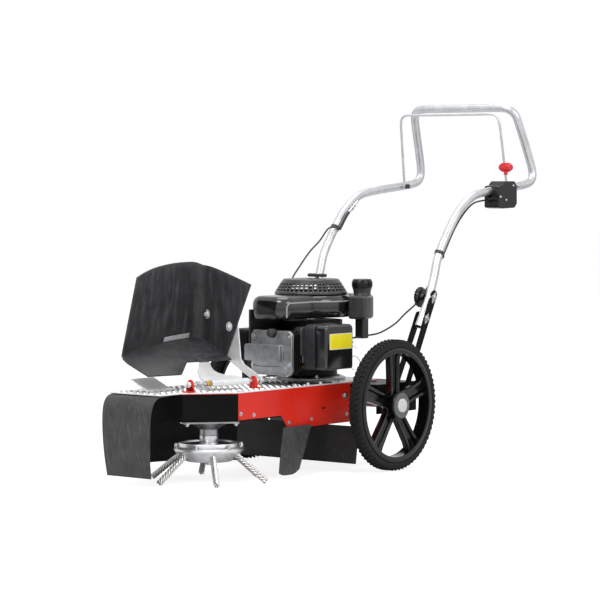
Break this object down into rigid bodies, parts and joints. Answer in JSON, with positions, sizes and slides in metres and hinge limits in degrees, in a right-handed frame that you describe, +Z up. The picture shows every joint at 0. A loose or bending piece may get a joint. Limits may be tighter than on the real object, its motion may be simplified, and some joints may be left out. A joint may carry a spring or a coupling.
{
  "type": "weed brush machine",
  "caption": "Walk-behind petrol weed brush: sheet chassis on two spoked wheels, rotating wire-rope brush head in front, swing-up rubber guard, folding tube handle.",
  "frame": {"origin": "on the floor, under the middle of the machine's overall box", "axes": "+Z up, -Y towards the brush, +Y towards the operator, +X to the operator's left"},
  "size_m": [0.657, 1.6758, 1.1309],
  "materials": {
    "red_paint": "gloss enamel",
    "black_paint": "satin powder coat",
    "black_plastic": "moulded, fine grain",
    "red_plastic": "gloss",
    "yellow_plastic": "gloss film",
    "black_rubber": "matte sheet",
    "tyre_rubber": "matte",
    "zinc_steel": "bright zinc",
    "steel_wire": "drawn wire",
    "cast_aluminium": "as cast",
    "chequer_aluminium": "rolled"
  },
  "bodies": {
    "chassis": {"axle": "zinc_steel", "axle_carrier": "black_paint", "bearing_housing": "cast_aluminium", "belly_plate": "black_paint", "brush_skirt": "black_rubber", "chassis_tray": "red_paint", "deck_plate": "chequer_aluminium", "drive_belt": "black_rubber", "engine_block": "cast_aluminium", "fan_shroud": "black_plastic", "filter_base": "black_plastic", "filter_cover": "black_plastic", "front_edge_plate": "black_paint", "front_face_plate": "black_paint", "front_flap": "black_rubber", "fuel_tank": "black_plastic", "handle_bracket_left": "black_paint", "handle_bracket_right": "black_paint", "head_cover": "cast_aluminium", "hinge_rod": "zinc_steel", "hinge_spring": "zinc_steel", "hinge_tab_front": "red_paint", "hinge_tab_rear": "red_paint", "muffler": "black_paint", "rear_skirt": "black_rubber", "side_flap": "black_rubber", "spark_plug_boot": "black_rubber", "starter_grille": "black_plastic", "yellow_plate": "yellow_plastic", "throttle_cable": "black_rubber", "clutch_cable": "black_rubber"},
    "wheel_left": {"rim_left": "black_plastic", "tyre_left": "tyre_rubber"},
    "wheel_right": {"rim_right": "black_plastic", "tyre_right": "tyre_rubber"},
    "brush_head": {"brush_spindle": "zinc_steel", "clamp_plate": "cast_aluminium", "brush_dish": "cast_aluminium", "wire_rope_1": "steel_wire", "wire_rope_2": "steel_wire", "wire_rope_3": "steel_wire", "wire_rope_4": "steel_wire", "wire_rope_5": "steel_wire", "wire_rope_6": "steel_wire"},
    "engine_shaft": {"crankshaft": "zinc_steel"},
    "belt_arm": {"tension_arm": "zinc_steel"},
    "idler": {"idler_pulley": "zinc_steel"},
    "guard": {"guard_hood": "black_rubber", "guard_arm": "cast_aluminium", "guard_strap": "chequer_aluminium", "guard_bar": "zinc_steel"},
    "handle": {"handle_tube": "zinc_steel", "control_box": "black_plastic"},
    "bail": {"bail_wire": "zinc_steel"},
    "throttle": {"throttle_lever": "zinc_steel", "lever_knob": "red_plastic"},
    "knob_left": {"clamp_knob_left": "black_plastic"},
    "knob_right": {"clamp_knob_right": "black_plastic"},
    "starter": {"starter_grip": "black_plastic"},
    "cap": {"fuel_cap": "black_plastic"}
  },
  "joints": [
    {"name": "wheel_left_spin", "type": "hinge", "parent": "chassis", "child": "wheel_left", "pos_m": [0.2875, -0.0148, 0.2], "axis": [1, 0, 0], "continuous": true},
    {"name": "wheel_right_spin", "type": "hinge", "parent": "chassis", "child": "wheel_right", "pos_m": [-0.2875, -0.0148, 0.2], "axis": [1, 0, 0], "continuous": true},
    {"name": "brush_spin", "type": "hinge", "parent": "chassis", "child": "brush_head", "pos_m": [0.045, -0.5898, 0.1], "axis": [0, 0, 1], "continuous": true},
    {"name": "engine_spin", "type": "hinge", "parent": "chassis", "child": "engine_shaft", "pos_m": [0, -0.0548, 0.214], "axis": [0, 0, 1], "continuous": true},
    {"name": "belt_arm_swing", "type": "hinge", "parent": "chassis", "child": "belt_arm", "pos_m": [0.126, -0.3598, 0.245], "axis": [0, 0, 1], "range_deg": [0, 12], "stiffness_Nm_per_rad": 1, "springref_deg": -2.86},
    {"name": "idler_spin", "type": "hinge", "parent": "belt_arm", "child": "idler", "pos_m": [0.0862, -0.3048, 0.225], "axis": [0, 0, 1], "continuous": true},
    {"name": "guard_swing", "type": "hinge", "parent": "chassis", "child": "guard", "pos_m": [0.055, -0.6148, 0.29], "axis": [0.198, 0.9802, 0], "range_deg": [0, 157]},
    {"name": "handle_fold", "type": "hinge", "parent": "chassis", "child": "handle", "pos_m": [0, 0.2107, 0.452], "axis": [1, 0, 0], "range_deg": [0, 100], "deforming": ["throttle_cable", "clutch_cable"]},
    {"name": "bail_pull", "type": "hinge", "parent": "handle", "child": "bail", "pos_m": [0, 0.7052, 0.8575], "axis": [-1, 0, 0], "range_deg": [0, 12], "stiffness_Nm_per_rad": 2, "springref_deg": -5.73},
    {"name": "throttle_turn", "type": "hinge", "parent": "handle", "child": "throttle", "pos_m": [0.2505, 0.6372, 0.852], "axis": [1, 0, 0], "range_deg": [-20, 25]},
    {"name": "knob_left_turn", "type": "hinge", "parent": "handle", "child": "knob_left", "pos_m": [0.19, 0.2487, 0.516], "axis": [1, 0, 0], "continuous": true},
    {"name": "knob_right_turn", "type": "hinge", "parent": "handle", "child": "knob_right", "pos_m": [-0.19, 0.2487, 0.516], "axis": [1, 0, 0], "continuous": true},
    {"name": "starter_pull", "type": "slide", "parent": "chassis", "child": "starter", "axis": [0, 0.6, 0.8], "range_m": [0, 0.5], "stiffness_N_per_m": 2, "springref_m": -0.1},
    {"name": "fuel_cap_turn", "type": "hinge", "parent": "chassis", "child": "cap", "pos_m": [0.1225, 0.0452, 0.56], "axis": [0, 0, 1], "range_deg": [0, 90]}
  ],
  "couplings": [
    {"joint": "engine_spin", "follows": "brush_spin", "ratio": 1.592},
    {"joint": "belt_arm_swing", "follows": "bail_pull", "ratio": 1}
  ]
}
